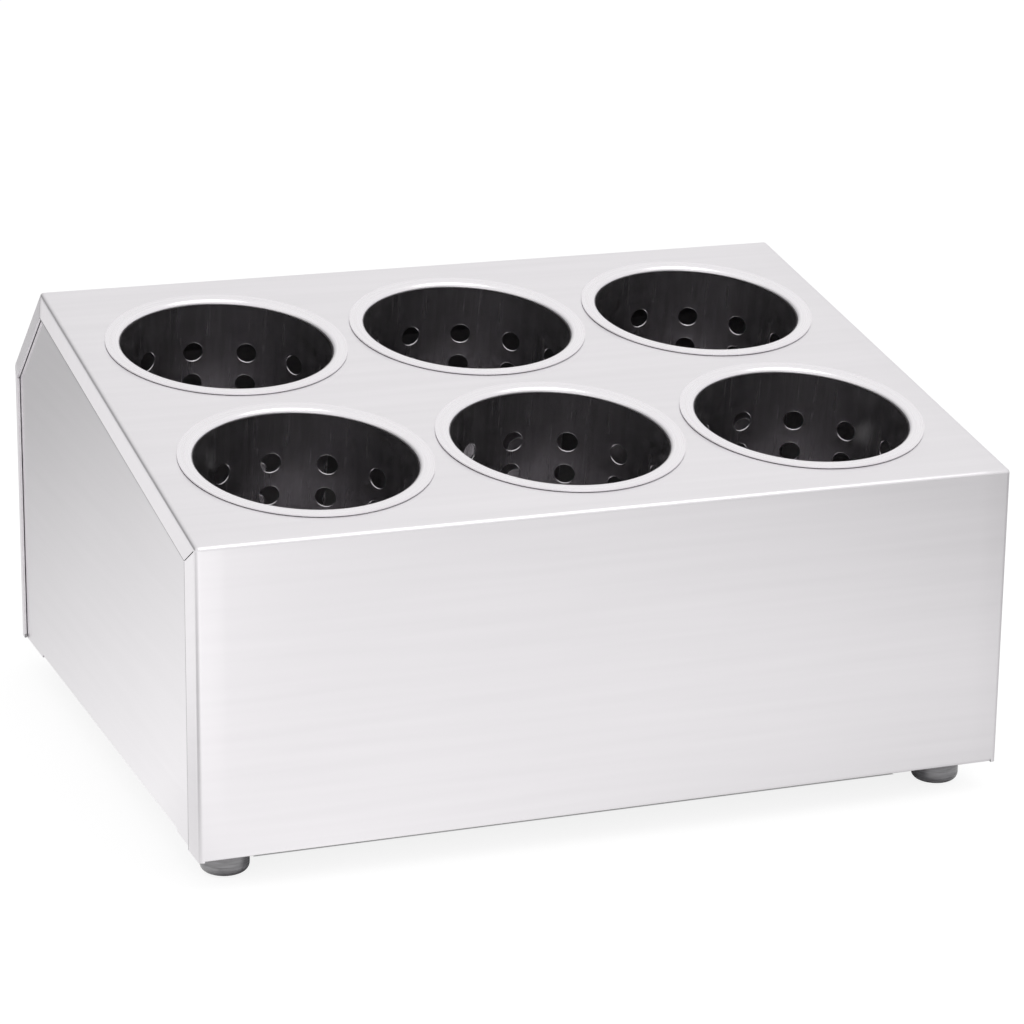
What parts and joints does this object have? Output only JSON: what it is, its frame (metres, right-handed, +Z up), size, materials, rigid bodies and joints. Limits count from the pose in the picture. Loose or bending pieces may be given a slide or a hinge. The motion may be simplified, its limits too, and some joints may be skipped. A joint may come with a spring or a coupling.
{
  "type": "cutlery holder",
  "caption": "Raked stainless casing on rubber feet that holds perforated lift-out cutlery cups by their rims.",
  "frame": {"origin": "on the surface that the holder stands on, under the middle of the casing", "axes": "+X runs along the front from left to right, +Y from the front to the back and +Z up"},
  "size_m": [0.384, 0.328, 0.2062],
  "materials": {
    "satin_steel": "satin, fine horizontal grain",
    "cup_steel": "drawn and polished, bright rim",
    "zinc_steel": "zinc plated",
    "grey_rubber": "smooth, slightly glossy"
  },
  "bodies": {
    "casing": {"casing_shell": "satin_steel", "side_panel_left": "satin_steel", "side_panel_right": "satin_steel", "foot_front_left": "grey_rubber", "foot_front_right": "grey_rubber", "foot_rear_left": "grey_rubber", "foot_rear_right": "grey_rubber", "foot_washer_front_left": "zinc_steel", "foot_washer_front_right": "zinc_steel", "foot_washer_rear_left": "zinc_steel", "foot_washer_rear_right": "zinc_steel", "foot_screw_front_left": "zinc_steel", "foot_screw_front_right": "zinc_steel", "foot_screw_rear_left": "zinc_steel", "foot_screw_rear_right": "zinc_steel", "foot_nut_front_left": "zinc_steel", "foot_nut_front_right": "zinc_steel", "foot_nut_rear_left": "zinc_steel", "foot_nut_rear_right": "zinc_steel"},
    "cup_front_left": {"cup_front_left": "cup_steel"},
    "cup_front_middle": {"cup_front_middle": "cup_steel"},
    "cup_front_right": {"cup_front_right": "cup_steel"},
    "cup_rear_left": {"cup_rear_left": "cup_steel"},
    "cup_rear_middle": {"cup_rear_middle": "cup_steel"},
    "cup_rear_right": {"cup_rear_right": "cup_steel"}
  },
  "joints": [
    {"name": "cup_front_left_lift", "type": "slide", "parent": "casing", "child": "cup_front_left", "axis": [0, -0.1857, 0.9826], "range_m": [0, 0.15]},
    {"name": "cup_front_middle_lift", "type": "slide", "parent": "casing", "child": "cup_front_middle", "axis": [0, -0.1857, 0.9826], "range_m": [0, 0.15]},
    {"name": "cup_front_right_lift", "type": "slide", "parent": "casing", "child": "cup_front_right", "axis": [0, -0.1857, 0.9826], "range_m": [0, 0.15]},
    {"name": "cup_rear_left_lift", "type": "slide", "parent": "casing", "child": "cup_rear_left", "axis": [0, -0.1857, 0.9826], "range_m": [0, 0.15]},
    {"name": "cup_rear_middle_lift", "type": "slide", "parent": "casing", "child": "cup_rear_middle", "axis": [0, -0.1857, 0.9826], "range_m": [0, 0.15]},
    {"name": "cup_rear_right_lift", "type": "slide", "parent": "casing", "child": "cup_rear_right", "axis": [0, -0.1857, 0.9826], "range_m": [0, 0.15]}
  ]
}
